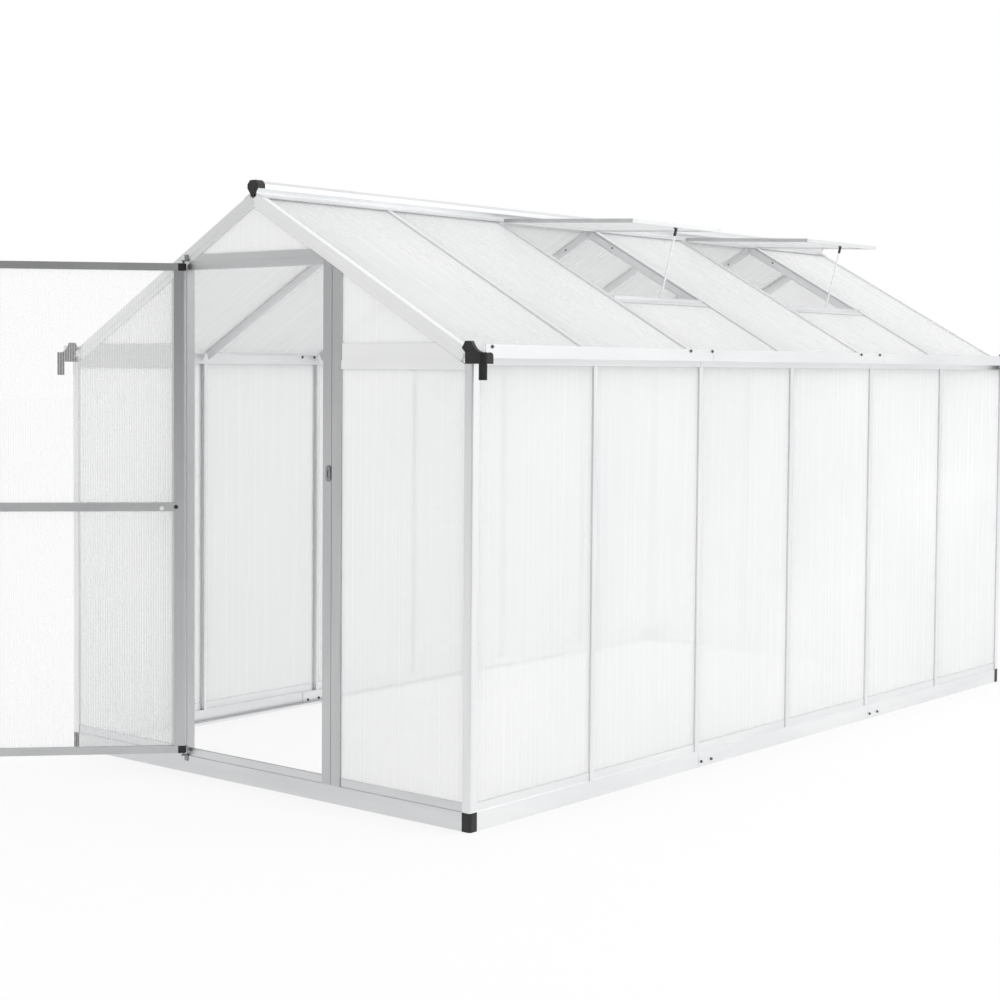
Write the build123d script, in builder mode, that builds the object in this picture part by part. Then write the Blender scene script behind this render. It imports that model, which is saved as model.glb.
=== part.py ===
"""Aluminium framed greenhouse with twin-wall sheets, two open roof vents and a hinged door.

Frame: millimetres, +X across the gable, +Y from the door gable to the rear gable, +Z up.
The origin is on the ground, under the middle of the front base rail.
"""

import math
import os

from build123d import *

os.makedirs("parts", exist_ok=True)

# Overall sizes
half_width = 950.0
bay_pitch = 610.0
bay_count = 6
eave_height = 1421.0
apex_height = 1965.0
eave_rise = 15.0

# Sheets and the gap left round each of them
sheet_thickness = 4.0
seat_gap = 0.3

# Glazing bar profile
cap_width = 24.0
cap_depth = 5.0
cap_chamfer = 1.5
web_thickness = 2.0
flange_width = 18.0
flange_thickness = 1.6
stem_depth = 14.0
roof_stem_depth = 30.0
bead_width = 9.0
bead_thickness = 2.4

# Base frame and sills
base_height = 58.0
base_depth = 31.0
base_top_flange = 24.0
base_wall = 2.0
base_lip = 10.0
foot_size = 32.0
foot_round = 10.0
foot_proud = 1.0
joint_gap = 1.0
joint_offset = 14.0
joiner_length = 150.0
joiner_margin = 8.0
bays_per_section = 2
sill_height = 27.0
sill_wall = 1.8
sill_floor = 2.0

# Corner posts
post_size = 31.0
post_round = 6.0

# Gutters and their end pieces
gutter_reach = 50.0
gutter_inset = 27.0
gutter_height = 41.0
gutter_wall = 2.0
gutter_lip = 7.0
gutter_skirt = 20.0
end_cap_thickness = 14.0
end_cap_overlap = 32.0
end_cap_rise = 10.0
end_cap_drop = 17.0
end_cap_shoulder = 13.0
end_cap_hook = 36.0
end_cap_dam = 17.0
end_cap_wall = 2.0
end_cap_sleeve = 32.0
end_cap_sleeve_round = 12.0
spout_radius = 12.5
spout_bore = 9.5
spout_length = 48.0
spout_forward = 13.2
flute_count = 10
flute_width = 3.0
flute_depth = 1.2

# Ridge
ridge_half_width = 23.0
ridge_top_half_width = 12.0
ridge_neck_half_width = 15.0
ridge_rise = 34.0
ridge_shoulder_drop = 11.0
ridge_side_rise = 9.0
ridge_neck_drop = 5.0
ridge_drop = 20.0
ridge_wall = 2.0
ridge_wing = 31.0
ridge_wing_thickness = 2.0
ridge_cap_wall = 2.0
ridge_cap_sleeve = 30.0
ridge_cap_point = 24.0
gusset_length = 120.0
gusset_thickness = 2.5

# Gable members
verge_face = 26.0
verge_width = 26.0
verge_lip = 19.0
verge_lip_setback = 3.0
verge_wall = 2.0
eave_rail_height = 82.0
eave_rail_split = 28.0
eave_rail_lower = 36.0
eave_rail_setback = 2.0
eave_rail_web = 3.0
jamb_tube_width = 38.0
jamb_depth = 33.0
jamb_wall = 2.0
jamb_cap_width = 40.0
jamb_groove_line = 2.0

# Doorway and leaf
doorway_half_width = 325.0
header_drop = 67.0
header_tube_height = 24.0
header_cap_height = 24.0
leaf_bottom = 70.0
leaf_head_lap = 21.0
leaf_width = 671.0
leaf_thickness = 20.0
leaf_clearance = 5.0
leaf_lap = 13.0
leaf_open_angle = 133.0
leaf_wall = 1.6
stile_width = 41.0
rail_height = 25.0
mid_rail_height = 29.0
mid_rail_centre = 913.0
leaf_groove_depth = 9.0
hinge_block_length = 27.0
hinge_pin_radius = 4.0
hinge_pin_clearance = 0.05
hinge_pin_depth = 15.0
bracket_width = 16.0
bracket_thickness = 2.5
bracket_leg = 22.0
bracket_gap = 8.0
knob_radius = 12.0
knob_height = 16.0
knob_taper = 10.0
knob_inset = 12.0
cap_screw_radius = 7.0
cap_screw_height = 2.5
cap_screw_taper = 20.0
keep_height = 52.0
keep_width = 20.0
keep_thickness = 2.5
keep_centre = 1054.0
keep_slot_height = 22.0
keep_slot_width = 7.0

# Roof vents
vent_bay_numbers = (3, 5)
vent_length = 596.0
vent_open_angle = 2.5
vent_rail_width = 20.0
vent_rail_thickness = 14.0
vent_wall = 1.6
vent_side_gap = 3.0
vent_sill_height = 30.0
vent_sill_upstand = 12.0
stay_width = 9.0
stay_thickness = 2.5
stay_tail = 115.0
stay_tail_angle = 45.0
stay_bend_radius = 14.0

# Worked out from the sizes above
length = bay_pitch * bay_count
slope_rise = apex_height - eave_height - eave_rise
slope_angle = math.atan2(slope_rise, half_width)
slope_cos = math.cos(slope_angle)
slope_sin = math.sin(slope_angle)
groove = sheet_thickness + 2 * seat_gap
sheet_face = cap_depth + seat_gap
sheet_back = sheet_face + sheet_thickness
inner_face = cap_depth + groove
flange_face = inner_face + flange_thickness
sheet_bite = web_thickness / 2 + seat_gap
section_length = bay_pitch * bays_per_section
section_count = bay_count // bays_per_section
sill_top = base_height + sill_height
bar_depth = flange_face + roof_stem_depth
gusset_height = roof_stem_depth - bead_thickness
header_underside = apex_height - doorway_half_width * slope_sin / slope_cos - header_drop
leaf_top = header_underside + leaf_head_lap
jamb_outer = doorway_half_width + jamb_tube_width + jamb_groove_line + jamb_cap_width
jamb_web = doorway_half_width + jamb_tube_width + web_thickness
header_top = header_underside + header_tube_height + jamb_groove_line + header_cap_height
eave_rail_bottom = eave_height - eave_rail_lower
post_top = eave_height - seat_gap
bar_top = eave_height - gutter_skirt - seat_gap
gutter_inner = half_width - gutter_inset
hinge_x = -doorway_half_width - leaf_lap + leaf_thickness / 2
hinge_y = -leaf_clearance - leaf_thickness / 2
hinge_radius = leaf_thickness / 2


def roof_height(x):
    """Height of the roof surface at a distance x from the middle."""
    return apex_height - abs(x) * slope_sin / slope_cos


def slope_point(distance, y, lift=0.0):
    """Point on the right slope: distance down from the apex, lift above the surface."""
    return (
        distance * slope_cos + lift * slope_sin,
        y,
        apex_height - distance * slope_sin + lift * slope_cos,
    )


def wall_plane(y, z):
    """Plane for profiles of the right wall: x is +Y, y points out, extrusion runs down."""
    return Plane(origin=(half_width, y, z), x_dir=(0, 1, 0), z_dir=(0, 0, -1))


def gable_plane(x, z):
    """Plane for profiles of the front gable: x is +X, y points out, extrusion runs down."""
    return Plane(origin=(x, 0, z), x_dir=(1, 0, 0), z_dir=(0, 0, -1))


def slope_plane(distance, y, lift=0.0):
    """Plane for profiles of the right slope: x is +Y, y points out, extrusion runs down."""
    return Plane(
        origin=slope_point(distance, y, lift),
        x_dir=(0, 1, 0),
        z_dir=(slope_cos, 0, -slope_sin),
    )


def along_wall_plane(y):
    """Plane for profiles that run along the wall: x is +X, y is +Z, extrusion runs to -Y."""
    return Plane(origin=(0, y, 0), x_dir=(1, 0, 0), z_dir=(0, -1, 0))


def block(x0, x1, y0, y1, mode=Mode.ADD):
    """A rectangle given by its edges, in the open sketch."""
    with Locations(((x0 + x1) / 2, (y0 + y1) / 2)):
        Rectangle(abs(x1 - x0), abs(y1 - y0), mode=mode)


def glazing_bar_profile(stem):
    """Section of a glazing bar: chamfered cap, grooves for two sheets, flange and stem."""
    Polygon(
        (-cap_width / 2, -cap_depth),
        (cap_width / 2, -cap_depth),
        (cap_width / 2, -cap_chamfer),
        (cap_width / 2 - cap_chamfer, 0),
        (cap_chamfer - cap_width / 2, 0),
        (-cap_width / 2, -cap_chamfer),
        align=None,
    )
    stem_end = flange_face + stem
    block(-web_thickness / 2, web_thickness / 2, -stem_end, -cap_depth)
    block(-flange_width / 2, flange_width / 2, -flange_face, -inner_face)
    block(-bead_width / 2, bead_width / 2, -stem_end, bead_thickness - stem_end)


def save(builder, name):
    """Moves a piece from the gable's face to the part's origin, labels it and writes its file."""
    piece = Pos(0, -base_depth / 2, 0) * builder.part
    piece.label = name
    export_step(piece, f"parts/{name}.step")


# Base frame: C sections on the ground, open to the inside
def base_profile():
    """Section of the right base rail, in X and Z."""
    inner = half_width - base_depth
    block(half_width - base_wall, half_width, 0, base_height)
    block(inner, half_width, 0, base_wall)
    block(inner, inner + base_wall, 0, base_lip)
    block(half_width - base_top_flange, half_width, base_height - base_wall, base_height)


section_starts = [foot_size]
section_ends = []
for section in range(1, section_count):
    seam = section * section_length + joint_offset
    section_ends.append(seam - joint_gap / 2)
    section_starts.append(seam + joint_gap / 2)
section_ends.append(length - foot_size)

with BuildPart() as right_base_rail:
    for start, end in zip(section_starts, section_ends):
        with BuildSketch(along_wall_plane(end)):
            base_profile()
        extrude(amount=end - start)

with BuildPart() as left_base_rail:
    mirror(right_base_rail.part, about=Plane.YZ)

end_rail_length = 2 * (half_width - foot_size)
end_rail_plane = Plane(
    origin=(end_rail_length / 2, half_width, 0), x_dir=(0, -1, 0), z_dir=(-1, 0, 0)
)
with BuildPart() as front_base_rail:
    with BuildSketch(end_rail_plane):
        base_profile()
    extrude(amount=end_rail_length)

with BuildPart() as rear_base_rail:
    mirror(front_base_rail.part, about=Plane.XZ.offset(-length / 2))

with BuildPart() as base_joiners:
    plate_face = half_width - base_wall - seat_gap
    for section in range(1, section_count):
        middle = section * section_length + joint_offset
        with BuildSketch(Plane.YZ.offset(plate_face)):
            with Locations((middle, base_height / 2)):
                RectangleRounded(joiner_length, base_height - 2 * joiner_margin, joiner_margin / 2)
        extrude(amount=-base_wall)
    mirror(about=Plane.YZ)

with BuildPart() as corner_feet:
    for y, outward in ((0, -1), (length, 1)):
        corner = (half_width + foot_proud, y + outward * foot_proud)
        far = (half_width - foot_size + seat_gap, y - outward * (foot_size - seat_gap))
        with BuildSketch(Plane.XY):
            Polygon(corner, (far[0], corner[1]), far, (corner[0], far[1]), align=None)
            outer = vertices().sort_by_distance(corner)[0]
            fillet(outer, foot_round)
        extrude(amount=base_height - seat_gap)
    mirror(about=Plane.YZ)


# Corner posts: an angle outside, an angle inside, and a solid corner between the grooves
def corner_post_profile():
    """Section of the front right post, with x across and y out of the gable."""
    reach = post_size
    block(-reach, 0, -cap_depth, 0)
    block(-cap_depth, 0, -reach, 0)
    outer = vertices().sort_by_distance((0, 0))[0]
    fillet(outer, post_round)
    block(-flange_face, -cap_depth, -flange_face, -cap_depth)
    block(-reach, -flange_face, -flange_face, -inner_face)
    block(-flange_face, -inner_face, -reach, -flange_face)


with BuildPart() as front_corner_posts:
    with BuildSketch(gable_plane(half_width, post_top)):
        corner_post_profile()
    extrude(amount=post_top - base_height)
    mirror(about=Plane.YZ)

with BuildPart() as rear_corner_posts:
    mirror(front_corner_posts.part, about=Plane.XZ.offset(-length / 2))

# Wall bars of the long sides
with BuildPart() as right_wall_bars:
    for bay in range(1, bay_count):
        with BuildSketch(wall_plane(bay * bay_pitch, bar_top)):
            glazing_bar_profile(stem_depth)
        extrude(amount=bar_top - base_height)

with BuildPart() as left_wall_bars:
    mirror(right_wall_bars.part, about=Plane.YZ)


# Sills: open channels on the base rails, butted between the bars
def sill_profile():
    """Section of the right sill, in X and Z."""
    outer = half_width - cap_depth + sill_wall
    inner = half_width - inner_face - sill_wall
    block(inner, outer, base_height, base_height + sill_floor)
    block(outer - sill_wall, outer, base_height, sill_top)
    block(inner, inner + sill_wall, base_height, sill_top)


with BuildPart() as side_sills:
    for bay in range(bay_count):
        start = bay * bay_pitch + cap_width / 2 + seat_gap
        end = (bay + 1) * bay_pitch - cap_width / 2 - seat_gap
        if bay == 0:
            start = post_size + seat_gap
        if bay == bay_count - 1:
            end = length - post_size - seat_gap
        with BuildSketch(along_wall_plane(end)):
            sill_profile()
        extrude(amount=end - start)
    mirror(about=Plane.YZ)

front_sill_spans = (
    (-doorway_half_width + seat_gap, doorway_half_width - seat_gap),
    (jamb_outer + seat_gap, half_width - post_size - seat_gap),
    (post_size + seat_gap - half_width, -jamb_outer - seat_gap),
)
with BuildPart() as front_sill:
    for low, high in front_sill_spans:
        turned = Plane(origin=(high, half_width, 0), x_dir=(0, -1, 0), z_dir=(-1, 0, 0))
        with BuildSketch(turned):
            sill_profile()
        extrude(amount=high - low)

rear_post_x = jamb_outer - jamb_cap_width / 2
with BuildPart() as rear_sill:
    rear_stops = (
        post_size - half_width,
        -rear_post_x - cap_width / 2,
        rear_post_x - cap_width / 2,
        half_width - post_size,
    )
    rear_starts = (rear_stops[0], rear_stops[1] + cap_width, rear_stops[2] + cap_width)
    for low, high in zip(rear_starts, rear_stops[1:]):
        turned = Plane(
            origin=(low + seat_gap, length - half_width, 0), x_dir=(0, 1, 0), z_dir=(1, 0, 0)
        )
        with BuildSketch(turned):
            sill_profile()
        extrude(amount=high - low - 2 * seat_gap)


# Gutters: the eave beam, its trough outside, its skirt holding the wall sheets
def trough_profile():
    """Section of the right gutter's trough, in X and Z."""
    outer = half_width + gutter_reach
    web_top = roof_height(gutter_inner) - flange_face / slope_cos - seat_gap
    lip_top = eave_height + gutter_height
    block(gutter_inner, outer, eave_height, eave_height + gutter_wall)
    block(outer - gutter_wall, outer, eave_height, lip_top)
    block(outer - gutter_lip, outer, lip_top - gutter_wall, lip_top)
    block(gutter_inner, gutter_inner + gutter_wall, eave_height, web_top)


def skirt_profile():
    """Section of the three skirts under the trough: inner web and the sheet's two lips."""
    low = eave_height - gutter_skirt
    high = eave_height + gutter_wall
    back = half_width - inner_face
    front = half_width - cap_depth
    block(gutter_inner, gutter_inner + gutter_wall, low, high)
    block(back - flange_thickness, back, low, high)
    block(front, front + gutter_wall, low, high)


gutter_starts = [0.0]
gutter_ends = []
for section in range(1, section_count):
    gutter_ends.append(section * section_length - joint_gap / 2)
    gutter_starts.append(section * section_length + joint_gap / 2)
gutter_ends.append(length)

with BuildPart() as right_gutter:
    for start, end in zip(gutter_starts, gutter_ends):
        skirt_start = max(start, post_size + seat_gap)
        skirt_end = min(end, length - post_size - seat_gap)
        with BuildSketch(along_wall_plane(end)):
            trough_profile()
        extrude(amount=end - start)
        with BuildSketch(along_wall_plane(skirt_end)):
            skirt_profile()
        extrude(amount=skirt_end - skirt_start)

with BuildPart() as left_gutter:
    mirror(right_gutter.part, about=Plane.YZ)

# End caps of the gutters: a hooked plate with a sleeve round the trough and a fluted spout
with BuildPart() as gutter_end_caps:
    cap_inner = half_width - end_cap_overlap
    cap_outer = half_width + gutter_reach + seat_gap + end_cap_wall
    cap_top = eave_height + gutter_height + end_cap_rise
    cap_bottom = eave_height - end_cap_drop
    cap_mid = (cap_top + cap_bottom) / 2
    hook_edge = cap_inner + end_cap_hook
    dam_top = eave_height + end_cap_dam
    with BuildSketch(along_wall_plane(-seat_gap)):
        with BuildLine():
            Polyline(
                (hook_edge, cap_top),
                (cap_inner + end_cap_shoulder, cap_top),
                (cap_inner, cap_mid + end_cap_shoulder),
                (cap_inner + end_cap_shoulder, cap_mid),
                (cap_inner + end_cap_shoulder, cap_bottom),
                (cap_outer, cap_bottom),
                (cap_outer, dam_top),
            )
            ThreePointArc(
                (cap_outer, dam_top),
                (hook_edge + end_cap_shoulder, dam_top + end_cap_shoulder),
                (hook_edge, cap_top),
            )
        make_face()
    extrude(amount=end_cap_thickness)
    with BuildSketch(along_wall_plane(end_cap_sleeve - end_cap_sleeve_round)):
        sleeve_floor = eave_height - seat_gap
        block(half_width + end_cap_wall, cap_outer, sleeve_floor - end_cap_wall, sleeve_floor)
    extrude(amount=end_cap_sleeve - end_cap_sleeve_round + seat_gap)
    with BuildSketch(Plane.YZ.offset(cap_outer)):
        block(-seat_gap, end_cap_sleeve, cap_bottom, dam_top)
        fillet(vertices().sort_by(Axis.Y)[-2:], end_cap_sleeve_round)
    extrude(amount=-end_cap_wall)
    spout_foot = cap_bottom - spout_length
    with BuildSketch(Plane.XY.offset(spout_foot)):
        with Locations((half_width + gutter_reach, -spout_forward)):
            RegularPolygon(spout_radius - flute_depth, 2 * flute_count)
            with PolarLocations(spout_radius - flute_depth, flute_count):
                Rectangle(2 * flute_depth, flute_width)
    extrude(amount=dam_top - spout_foot)
    with BuildSketch(Plane.XY.offset(spout_foot)):
        with Locations((half_width + gutter_reach, -spout_forward)):
            Circle(spout_bore)
    extrude(amount=spout_length, mode=Mode.SUBTRACT)
    mirror(about=Plane.YZ)
    mirror(about=Plane.XZ.offset(-length / 2))

# Ridge beam: a hollow crown, undercut to a neck, with a wing over each slope
ridge_top = apex_height + ridge_rise
ridge_bottom = apex_height - ridge_drop
ridge_shoulder = ridge_top - ridge_shoulder_drop
ridge_side_low = apex_height + ridge_side_rise
wing_start = (ridge_neck_half_width - ridge_wall) / slope_cos
wing_end = ridge_neck_half_width / slope_cos + ridge_wing


def ridge_outline(inset):
    """Closed outline of the ridge crown, drawn smaller by the inset."""
    low = ridge_bottom + inset
    high = ridge_top - inset
    wide = ridge_half_width - inset
    neck = ridge_neck_half_width - inset
    narrow = ridge_top_half_width - inset / 2
    neck_level = apex_height - ridge_neck_drop
    Polygon(
        (-neck, low),
        (neck, low),
        (neck, neck_level),
        (wide, ridge_side_low),
        (wide, ridge_shoulder),
        (narrow, high),
        (-narrow, high),
        (-wide, ridge_shoulder),
        (-wide, ridge_side_low),
        (-neck, neck_level),
        align=None,
    )


with BuildPart() as ridge_beam:
    with BuildSketch(along_wall_plane(length)):
        ridge_outline(0)
        with BuildSketch(mode=Mode.PRIVATE) as chamber:
            ridge_outline(ridge_wall)
        add(chamber.sketch, mode=Mode.SUBTRACT)
        for side in (-1, 1):
            corners = []
            for distance, lift in (
                (wing_start, seat_gap),
                (wing_end, seat_gap),
                (wing_end, seat_gap + ridge_wing_thickness),
                (wing_start, seat_gap + ridge_wing_thickness),
            ):
                x, _, z = slope_point(distance, 0, lift)
                corners.append((side * x, z))
            Polygon(*corners, align=None)
    extrude(amount=length)

# End caps of the ridge: a plate with its point down, and a sleeve over the crown
with BuildPart() as ridge_end_caps:
    cap_offset = -seat_gap - ridge_cap_wall
    cap_reach = ridge_half_width - cap_offset
    with BuildSketch(along_wall_plane(-seat_gap)):
        ridge_outline(cap_offset)
        block(-cap_reach, cap_reach, ridge_bottom + cap_offset, ridge_side_low, Mode.SUBTRACT)
        Polygon(
            (0, apex_height - ridge_cap_point),
            (cap_reach, ridge_side_low),
            (-cap_reach, ridge_side_low),
            align=None,
        )
    extrude(amount=ridge_cap_wall)
    with BuildSketch(along_wall_plane(ridge_cap_sleeve)):
        ridge_outline(cap_offset)
        with BuildSketch(mode=Mode.PRIVATE) as crown:
            ridge_outline(-seat_gap)
        add(crown.sketch, mode=Mode.SUBTRACT)
        block(-cap_reach, cap_reach, ridge_bottom + cap_offset, ridge_side_low, Mode.SUBTRACT)
    extrude(amount=ridge_cap_sleeve + seat_gap)
    mirror(about=Plane.XZ.offset(-length / 2))

# Roof bars
bar_start = max(
    (ridge_neck_half_width + seat_gap + flange_face * slope_sin) / slope_cos,
    (seat_gap + bar_depth * slope_sin) / slope_cos,
)
bar_end = (gutter_inner - seat_gap) / slope_cos
with BuildPart() as right_roof_bars:
    for bay in range(1, bay_count):
        with BuildSketch(slope_plane(bar_start, bay * bay_pitch)):
            glazing_bar_profile(roof_stem_depth)
        extrude(amount=bar_end - bar_start)

with BuildPart() as left_roof_bars:
    mirror(right_roof_bars.part, about=Plane.YZ)

# Ridge gussets: bent plates that tie the two roof bars of each frame
with BuildPart() as ridge_gussets:
    band_top = flange_face + seat_gap
    band_low = band_top + gusset_height - 2 * seat_gap
    plate_top = ridge_bottom - seat_gap
    shoulder = (apex_height - band_top / slope_cos - plate_top) * slope_cos / slope_sin
    for bay in range(1, bay_count):
        face = bay * bay_pitch + web_thickness / 2 + seat_gap
        with BuildSketch(along_wall_plane(face + gusset_thickness)):
            for side in (-1, 1):
                Polygon(
                    (side * shoulder, plate_top),
                    (0, plate_top),
                    (0, apex_height - band_low / slope_cos),
                    (
                        side * slope_point(gusset_length, 0, -band_low)[0],
                        slope_point(gusset_length, 0, -band_low)[2],
                    ),
                    (
                        side * slope_point(gusset_length, 0, -band_top)[0],
                        slope_point(gusset_length, 0, -band_top)[2],
                    ),
                    align=None,
                )
        extrude(amount=gusset_thickness)


# Verge bars: cover the roof sheets at the gable and hold the upper gable sheets
def verge_profile():
    """Section of the front right verge bar: x is +Y, y points out of the roof."""
    lip_end = verge_face + verge_lip
    web_low = verge_face - verge_wall
    block(0, verge_width, -cap_depth, 0)
    block(0, verge_wall, -verge_face, 0)
    block(0, flange_width, -flange_face, -inner_face)
    block(0, flange_face, -verge_face, -web_low)
    block(verge_lip_setback, cap_depth, -lip_end, -web_low)
    block(inner_face, flange_face, -lip_end, -web_low)


with BuildPart() as front_verge_bars:
    with BuildSketch(slope_plane(0, 0)):
        verge_profile()
    extrude(amount=bar_end)
    with BuildSketch(along_wall_plane(length)):
        block(seat_gap / 2, -half_width, eave_height, ridge_top)
        ridge_outline(-seat_gap)
    extrude(amount=2 * length, mode=Mode.SUBTRACT)
    mirror(about=Plane.YZ)

with BuildPart() as rear_verge_bars:
    mirror(front_verge_bars.part, about=Plane.XZ.offset(-length / 2))


def roof_cut(setback):
    """Solid above the verge bars' underside, for trimming what stands below them."""
    level = apex_height - setback / slope_cos
    with BuildPart(mode=Mode.PRIVATE) as cutter:
        with BuildSketch(along_wall_plane(2 * length)):
            Polygon(
                (0, level),
                (2 * half_width, level - 2 * half_width * slope_sin / slope_cos),
                (2 * half_width, 2 * level),
                (-2 * half_width, 2 * level),
                (-2 * half_width, level - 2 * half_width * slope_sin / slope_cos),
                align=None,
            )
        extrude(amount=4 * length)
    return cutter.part


verge_bottom = verge_face + verge_lip + seat_gap
verge_cut = roof_cut(verge_bottom)


# Eave rails of the gables
def eave_rail_profile():
    """Section of a gable eave rail: x points out of the gable, y is +Z."""
    split = eave_rail_bottom + eave_rail_split
    top = eave_rail_bottom + eave_rail_height
    block(-cap_depth, 0, eave_rail_bottom, split)
    block(-cap_depth, -eave_rail_setback, split, top)
    block(-flange_face, -inner_face, eave_rail_bottom, top)
    block(-inner_face, -cap_depth, split - eave_rail_web, split)


with BuildPart() as front_eave_rails:
    rail_low = jamb_outer + seat_gap
    rail_high = half_width - post_size - seat_gap
    with BuildSketch(Plane(origin=(rail_high, 0, 0), x_dir=(0, -1, 0), z_dir=(-1, 0, 0))):
        eave_rail_profile()
    extrude(amount=rail_high - rail_low)
    mirror(about=Plane.YZ)
    add(verge_cut, mode=Mode.SUBTRACT)

with BuildPart() as rear_eave_rails:
    for low, high in zip(rear_starts, rear_stops[1:]):
        with BuildSketch(
            Plane(origin=(low + seat_gap, length, 0), x_dir=(0, 1, 0), z_dir=(1, 0, 0))
        ):
            eave_rail_profile()
        extrude(amount=high - low - 2 * seat_gap)
    add(verge_cut, mode=Mode.SUBTRACT)


# Door jambs: a square tube beside the opening and a glazing flange outside it
def jamb_profile():
    """Section of the right jamb: x is +X, y points out of the gable."""
    tube_end = doorway_half_width + jamb_tube_width
    block(doorway_half_width, tube_end, -jamb_depth, 0)
    with Locations(((doorway_half_width + tube_end) / 2, -jamb_depth / 2)):
        Rectangle(
            jamb_tube_width - 2 * jamb_wall, jamb_depth - 2 * jamb_wall, mode=Mode.SUBTRACT
        )
    block(tube_end + jamb_groove_line, jamb_outer, -cap_depth, 0)
    block(tube_end, tube_end + jamb_groove_line, -flange_face, -jamb_groove_line)
    block(tube_end + jamb_groove_line, jamb_outer, -flange_face, -inner_face)


with BuildPart() as door_jambs:
    with BuildSketch(gable_plane(0, apex_height)):
        jamb_profile()
    extrude(amount=apex_height - base_height)
    mirror(about=Plane.YZ)
    add(verge_cut, mode=Mode.SUBTRACT)

with BuildPart() as door_header:
    header_end = doorway_half_width - seat_gap
    tube_top = header_underside + header_tube_height
    with BuildSketch(Plane(origin=(header_end, 0, 0), x_dir=(0, -1, 0), z_dir=(-1, 0, 0))):
        block(-jamb_depth, 0, header_underside, tube_top)
        with Locations((-jamb_depth / 2, (header_underside + tube_top) / 2)):
            Rectangle(
                jamb_depth - 2 * jamb_wall, header_tube_height - 2 * jamb_wall, mode=Mode.SUBTRACT
            )
        block(-cap_depth, 0, tube_top + jamb_groove_line, header_top)
        block(-flange_face, -jamb_groove_line, tube_top, tube_top + jamb_groove_line)
        block(-flange_face, -inner_face, tube_top, header_top)
    extrude(amount=2 * header_end)
    add(verge_cut, mode=Mode.SUBTRACT)

with BuildPart() as latch_keep:
    keep_x = doorway_half_width + jamb_tube_width - keep_width / 2 - jamb_wall
    keep_plane = Plane(origin=(keep_x, -seat_gap, keep_centre), x_dir=(1, 0, 0), z_dir=(0, -1, 0))
    with BuildSketch(keep_plane):
        SlotCenterToCenter(keep_height - keep_width, keep_width, rotation=90)
        SlotCenterToCenter(
            keep_slot_height - keep_slot_width, keep_slot_width, rotation=90, mode=Mode.SUBTRACT
        )
    extrude(amount=keep_thickness)

with BuildPart() as rear_gable_posts:
    for x in (-rear_post_x, rear_post_x):
        with BuildSketch(Plane(origin=(x, length, base_height), x_dir=(1, 0, 0), z_dir=(0, 0, 1))):
            glazing_bar_profile(stem_depth)
        extrude(amount=apex_height - base_height)
    add(verge_cut, mode=Mode.SUBTRACT)

# Sheets of the long walls
sheet_foot = base_height + sill_floor + seat_gap
wall_sheet_top = eave_height - seat_gap
with BuildPart() as right_wall_sheets:
    for bay in range(bay_count):
        start = bay * bay_pitch + sheet_bite
        end = (bay + 1) * bay_pitch - sheet_bite
        if bay == 0:
            start = flange_face + seat_gap
        if bay == bay_count - 1:
            end = length - flange_face - seat_gap
        with BuildSketch(Plane.YZ.offset(half_width - sheet_face)):
            block(start, end, sheet_foot, wall_sheet_top)
        extrude(amount=-sheet_thickness)

with BuildPart() as left_wall_sheets:
    mirror(right_wall_sheets.part, about=Plane.YZ)

# Sheets of the gables
front_face_plane = along_wall_plane(sheet_back)
lower_top = eave_rail_bottom + eave_rail_split - eave_rail_web - seat_gap
upper_foot = eave_rail_bottom + eave_rail_split + seat_gap
sheet_corner = half_width - flange_face - seat_gap
upper_setback = verge_face + seat_gap
upper_edge = (apex_height - upper_setback / slope_cos - upper_foot) * slope_cos / slope_sin
upper_side = min(upper_edge, half_width - post_size - seat_gap)


def sheet_roof_line(x):
    """Height of the top edge of an upper gable sheet."""
    return roof_height(x) - upper_setback / slope_cos


with BuildPart() as front_wall_sheets:
    jamb_bite = jamb_web + seat_gap
    with BuildSketch(front_face_plane):
        block(jamb_bite, sheet_corner, sheet_foot, lower_top)
        Polygon(
            (jamb_bite, upper_foot),
            (upper_side, upper_foot),
            (upper_side, sheet_roof_line(upper_side)),
            (jamb_bite, sheet_roof_line(jamb_bite)),
            align=None,
        )
    extrude(amount=sheet_thickness)
    mirror(about=Plane.YZ)
    head_foot = header_underside + header_tube_height + jamb_groove_line + seat_gap
    head_side = doorway_half_width - seat_gap
    with BuildSketch(front_face_plane):
        Polygon(
            (-head_side, head_foot),
            (head_side, head_foot),
            (head_side, sheet_roof_line(head_side)),
            (0, sheet_roof_line(0)),
            (-head_side, sheet_roof_line(head_side)),
            align=None,
        )
    extrude(amount=sheet_thickness)

with BuildPart() as rear_wall_sheets:
    rear_bite = rear_post_x + sheet_bite
    middle_side = rear_post_x - sheet_bite
    with BuildSketch(along_wall_plane(length - sheet_face)):
        for side in (-1, 1):
            block(side * rear_bite, side * sheet_corner, sheet_foot, lower_top)
            Polygon(
                (side * rear_bite, upper_foot),
                (side * upper_side, upper_foot),
                (side * upper_side, sheet_roof_line(upper_side)),
                (side * rear_bite, sheet_roof_line(rear_bite)),
                align=None,
            )
        block(-middle_side, middle_side, sheet_foot, lower_top)
        Polygon(
            (-middle_side, upper_foot),
            (middle_side, upper_foot),
            (middle_side, sheet_roof_line(middle_side)),
            (0, sheet_roof_line(0)),
            (-middle_side, sheet_roof_line(middle_side)),
            align=None,
        )
    extrude(amount=sheet_thickness)

# Sheets of the roof: whole bays, and short ones below the vents
roof_sheet_start = bar_start
roof_sheet_end = bar_end + gutter_wall
vent_hinge = wing_end + seat_gap
vent_sill_start = vent_hinge + vent_length + seat_gap
vent_sill_end = vent_sill_start + vent_sill_height
slope_face = Plane(
    origin=slope_point(0, 0, -sheet_face),
    x_dir=(slope_cos, 0, -slope_sin),
    z_dir=(slope_sin, 0, slope_cos),
)


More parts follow.
